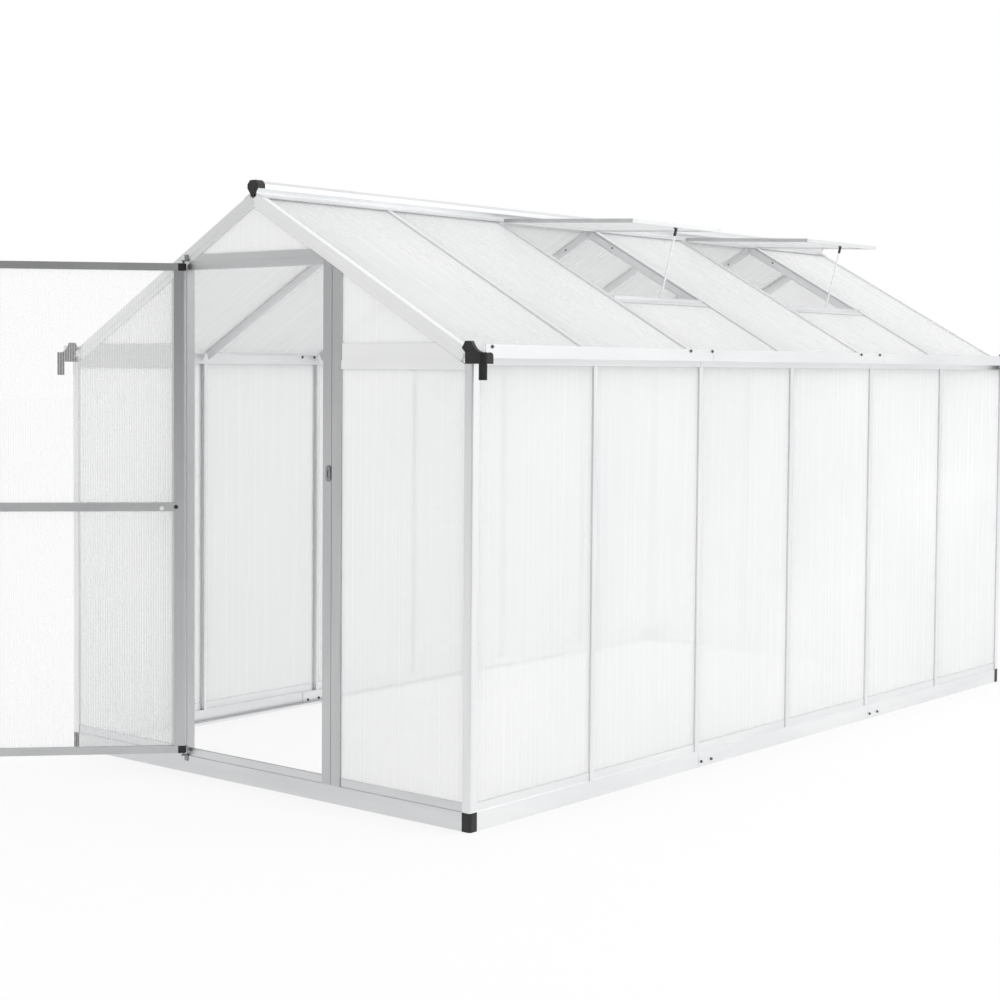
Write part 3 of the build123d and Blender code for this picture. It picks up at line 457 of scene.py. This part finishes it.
rib_material = sheet_ribs()
wall_sheet = twin_wall_sheet("wall_sheet", UPRIGHT, WALL_HAZE)
left_sheet = twin_wall_sheet("left_sheet", UPRIGHT, LEFT_HAZE)
roof_sheet = twin_wall_sheet("roof_sheet", SLOPING, ROOF_HAZE)
vent_sheet = twin_wall_sheet("vent_sheet", SLOPING, VENT_HAZE)
door_sheet = twin_wall_sheet("door_sheet", UPRIGHT, DOOR_HAZE)

for side, node, material in ((1, "right_wall_sheets", wall_sheet), (-1, "left_wall_sheets", left_sheet)):
    dress_sheets(node, "house", LENGTHWISE, UPRIGHT, (side, 0, 0), material)
for side, node in ((-1, "front_wall_sheets"), (1, "rear_wall_sheets")):
    dress_sheets(node, "house", ACROSS, UPRIGHT, (0, side, 0), wall_sheet)
for side, node, angle, material in (
    (1, "right_roof_sheets", SLOPE, roof_sheet),
    (-1, "left_roof_sheets", SLOPE, roof_sheet),
    (1, "vent_sheets", VENT_DROP, vent_sheet),
):
    down, out = slope_axes(side, angle)
    dress_sheets(node, "house", LENGTHWISE, down, out, material)

# The leaf's inner face, which looks at the camera while the door is open
leaf_along = (math.cos(DOOR_TURN), math.sin(DOOR_TURN), 0)
leaf_inward = (-math.sin(DOOR_TURN), math.cos(DOOR_TURN), 0)
dress_sheets("door_sheets", "door", leaf_along, UPRIGHT, leaf_inward, door_sheet)

# Finishes of the carried-over pieces, where the front, door and pale aluminium carry painted shade and
# painted light
metal_x = aluminium("aluminium_across", ACROSS)
metal_y = aluminium("aluminium_along", LENGTHWISE)
metal_z = aluminium("aluminium_upright", UPRIGHT)
metal_slope = aluminium("aluminium_slope", SLOPING, SLOPE_TONES, metal=0.75)
# Darker copy of the aluminium, as painted shade on the front rails and header
front_shaded_metal = aluminium("aluminium_front_painted_shade", ACROSS, FRONT_SHADE_TONES)
# Paler copy of the aluminium, as painted light on the eave rails and verge bars
pale_lit_metal = aluminium("aluminium_pale_painted_light", SLOPING, PALE_LIGHT_TONES, metal=0.45)
# Darker copies of the aluminium, as painted shade on the door and its jambs
door_shaded_metal_x = aluminium("aluminium_door_across_painted_shade", ACROSS, DOOR_RAIL_SHADE_TONES)
door_shaded_metal_z = aluminium("aluminium_door_upright_painted_shade", UPRIGHT, DOOR_STILE_SHADE_TONES)
plastic = black_plastic()
zinc = zinc_steel()
bolt_steel = dark_bolt()

FINISHES_AND_PAINTED_SHADING = {
    metal_x: ("rear_base_rail", "rear_sill"),
    pale_lit_metal: ("front_eave_rails", "rear_eave_rails", "front_verge_bars", "rear_verge_bars"),
    front_shaded_metal: ("front_base_rail", "front_sill", "door_header"),
    door_shaded_metal_x: ("door_rails",),
    door_shaded_metal_z: ("door_jambs", "door_hinge_stile", "door_free_stile"),
    metal_y: ("left_base_rail", "right_base_rail", "base_joiners", "side_sills", "left_gutter",
              "right_gutter", "ridge_beam", "ridge_gussets", "vent_sills", "vent_frames"),
    metal_z: ("front_corner_posts", "rear_corner_posts", "left_wall_bars", "right_wall_bars",
              "rear_gable_posts"),
    metal_slope: ("left_roof_bars", "right_roof_bars", "vent_stays"),
    plastic: ("corner_feet", "gutter_end_caps", "ridge_end_caps", "door_hinge_blocks",
              "door_knobs", "door_screw_caps"),
    zinc: ("latch_keep", "door_hinge_brackets"),
}
for material, names in FINISHES_AND_PAINTED_SHADING.items():
    for name in names:
        repaint(name, material)

# The left bars of the front gable, which stand in a darker reflection, take a darker copy of the metal
# there as painted shade
for name, shaded in (("front_verge_bars", metal_slope), ("front_eave_rails", front_shaded_metal)):
    data = nodes[name].data
    data.materials.append(shaded)
    for face in data.polygons:
        if face.center.x < 0:
            face.material_index = 1


# Bolts, screws and clips
def add_turned(mesh, place, out, rings, sides):
    """A closed solid of stacked rings along an axis."""
    place = Vector(place)
    out = Vector(out).normalized()
    side = out.orthogonal().normalized()
    up = out.cross(side)
    turns = [2 * math.pi * index / sides for index in range(sides)]
    spokes = [math.cos(turn) * side + math.sin(turn) * up for turn in turns]
    layers = []
    for radius, height in rings:
        layers.append([mesh.verts.new(place + out * height + spoke * radius) for spoke in spokes])
    for low, high in zip(layers, layers[1:]):
        for index in range(sides):
            after = (index + 1) % sides
            mesh.faces.new((low[index], low[after], high[after], high[index]))
    mesh.faces.new(layers[0][::-1])
    mesh.faces.new(layers[-1])


def add_bolt(mesh, place, out):
    """A washer and a hexagon head with a chamfered crown."""
    add_turned(mesh, place, out, WASHER_RINGS, WASHER_SIDES)
    add_turned(mesh, place, out, HEAD_RINGS, HEAD_SIDES)


def add_plate(mesh, outline, middle, width):
    """A flat plate across the house from an outline in X and Z."""
    near = [mesh.verts.new((x, middle - width / 2, z)) for x, z in outline]
    far = [mesh.verts.new((x, middle + width / 2, z)) for x, z in outline]
    mesh.faces.new(near)
    mesh.faces.new(far[::-1])
    for index in range(len(outline)):
        after = (index + 1) % len(outline)
        mesh.faces.new((near[index], far[index], far[after], near[after]))


rail_bolts = bmesh.new()
rail_rows = (
    (RAIL_FACE, 1, RIGHT_RAIL_BOLTS),
    (-RAIL_FACE, -1, LEFT_RAIL_BOLTS),
    (JOINER_FACE, -1, RIGHT_RAIL_BOLTS[:1]),
    (-JOINER_FACE, 1, LEFT_RAIL_BOLTS),
)
for step in (0, SEAM_STEP):
    for x, way, places in rail_rows:
        for y in places:
            add_bolt(rail_bolts, (x, y + step, RAIL_BOLT_HEIGHT), (way, 0, 0))
add_piece("rail_bolts", rail_bolts, "house", bolt_steel)

gutter_bolts = bmesh.new()
for side in (1, -1):
    for y in GUTTER_BOLTS:
        add_bolt(gutter_bolts, (side * GUTTER_FACE, y, GUTTER_BOLT_HEIGHT), (side, 0, 0))
    for step in (0, SEAM_STEP):
        for y in WEB_BOLTS:
            add_bolt(gutter_bolts, (side * GUTTER_WEB, y + step, WEB_BOLT_HEIGHT), (-side, 0, 0))
add_piece("gutter_bolts", gutter_bolts, "house", bolt_steel)

frame_screws = bmesh.new()
for number in range(1, FRAME_COUNT + 1):
    for side in (1, -1):
        place = (side * FRAME_SCREW_REACH, number * FRAME_PITCH + FRAME_FACE, FRAME_SCREW_HEIGHT)
        add_turned(frame_screws, place, (0, -1, 0), SCREW_RINGS, SCREW_SIDES)
add_piece("frame_screws", frame_screws, "house", bolt_steel)

stay_hooks = bmesh.new()
for middle in STAY_MIDDLES:
    add_plate(stay_hooks, HOOK_OUTLINE, middle, HOOK_WIDTH)
add_piece("stay_hooks", stay_hooks, "house", plastic)

leaf_rivet = bmesh.new()
rivet_place = Vector((*HINGE_AXIS, RIVET_HEIGHT)) + RIVET_REACH * Vector(leaf_along)
rivet_face = rivet_place + LEAF_HALF_DEPTH * Vector(leaf_inward)
add_turned(leaf_rivet, rivet_face, leaf_inward, RIVET_RINGS, RIVET_SIDES)
# The rivet takes the paler aluminium, which is lightened as painted light
add_piece("leaf_rivet", leaf_rivet, "door", pale_lit_metal)


# Stage
def camera_matrix():
    """The camera's place and turn as one matrix."""
    forward = Vector((
        math.sin(CAMERA_YAW) * math.cos(CAMERA_PITCH),
        math.cos(CAMERA_YAW) * math.cos(CAMERA_PITCH),
        math.sin(CAMERA_PITCH),
    ))
    level = Vector((math.cos(CAMERA_YAW), -math.sin(CAMERA_YAW), 0))
    above = level.cross(forward)
    right = math.cos(CAMERA_ROLL) * level + math.sin(CAMERA_ROLL) * above
    up = -math.sin(CAMERA_ROLL) * level + math.cos(CAMERA_ROLL) * above
    turn = Matrix((right, up, -forward)).transposed().to_4x4()
    return Matrix.Translation(CAMERA_PLACE) @ turn


def make_camera():
    """The camera that took the photograph."""
    data = bpy.data.cameras.new("camera")
    data.sensor_width = SENSOR_WIDTH
    data.lens = FOCAL_IN_WIDTHS * SENSOR_WIDTH
    data.shift_y = SHIFT_Y
    data.clip_end = CAMERA_REACH
    camera = bpy.data.objects.new("camera", data)
    camera.matrix_world = camera_matrix()
    bpy.context.scene.collection.objects.link(camera)
    bpy.context.scene.camera = camera


def white_to_camera(tree, lit, share):
    """Mixes a lit shader with plain white where the camera, metal or sheets look at it."""
    path = tree.nodes.new("ShaderNodeLightPath")
    white = tree.nodes.new("ShaderNodeEmission")
    white.inputs["Color"].default_value = WHITE
    seen = combine(tree, "MAXIMUM", path.outputs["Is Camera Ray"], path.outputs["Is Glossy Ray"])
    seen = combine(tree, "MAXIMUM", seen, path.outputs["Is Transmission Ray"])
    weight = spread(tree, seen, 0.0, share, from_low=0.0, from_high=1.0)
    return mix_shaders(tree, weight, lit, white.outputs["Emission"])


def make_floor():
    """A wide pale floor that keeps a soft shadow."""
    mesh = bmesh.new()
    bmesh.ops.create_grid(mesh, x_segments=2, y_segments=2, size=FLOOR_HALF_WIDTH)
    floor = make_object("floor", mesh)
    floor.location.z = -FLOOR_DROP
    material, tree, shader = new_material("pale_floor")
    shader.inputs["Base Color"].default_value = FLOOR_GREY
    shader.inputs["Roughness"].default_value = FLOOR_ROUGHNESS
    surface = white_to_camera(tree, shader.outputs["BSDF"], FLOOR_WHITE_SHARE)
    tree.links.new(surface, tree.nodes["Material Output"].inputs["Surface"])
    floor.data.materials.append(material)


def make_world():
    """Pale studio surround, with a dark card behind the viewer that only reflections show."""
    world = bpy.data.worlds.new("studio")
    bpy.context.scene.world = world
    world.use_nodes = True
    tree = world.node_tree
    tree.nodes.clear()
    place = tree.nodes.new("ShaderNodeTexCoord")
    towards = tree.nodes.new("ShaderNodeVectorMath")
    towards.operation = "DOT_PRODUCT"
    towards.inputs[1].default_value = CARD_DIRECTION
    tree.links.new(place.outputs["Generated"], towards.inputs[0])
    value = towards.outputs["Value"]
    card = spread(tree, value, SURROUND_STRENGTH, CARD_STRENGTH, CARD_EDGE, CARD_FULL)
    reflected = tree.nodes.new("ShaderNodeBackground")
    tree.links.new(card, reflected.inputs["Strength"])
    soft = tree.nodes.new("ShaderNodeBackground")
    soft.inputs["Strength"].default_value = SKY_STRENGTH
    plain = tree.nodes.new("ShaderNodeBackground")
    for background in (reflected, soft, plain):
        background.inputs["Color"].default_value = WHITE
    path = tree.nodes.new("ShaderNodeLightPath")
    bounced = mix_shaders(tree, path.outputs["Is Glossy Ray"], soft.outputs[0], reflected.outputs[0])
    seen = mix_shaders(tree, path.outputs["Is Camera Ray"], bounced, plain.outputs[0])
    out = tree.nodes.new("ShaderNodeOutputWorld")
    tree.links.new(seen, out.inputs["Surface"])


def make_key_light():
    """A soft rectangular lamp over the right slope."""
    data = bpy.data.lights.new("key", "AREA")
    data.shape = "RECTANGLE"
    data.size, data.size_y = KEY_SIZE
    data.energy = KEY_POWER
    lamp = bpy.data.objects.new("key", data)
    lamp.location = KEY_PLACE
    lamp.rotation_euler = (Vector(KEY_AIM) - Vector(KEY_PLACE)).to_track_quat("-Z", "Y").to_euler()
    bpy.context.scene.collection.objects.link(lamp)


make_camera()
make_floor()
make_world()
make_key_light()

bpy.context.scene.view_settings.view_transform = "Standard"
bpy.context.scene.cycles.transparent_max_bounces = SHEET_CROSSINGS
bpy.context.scene.cycles.diffuse_bounces = DIFFUSE_BOUNCES
bpy.context.scene.cycles.max_bounces = ALL_BOUNCES
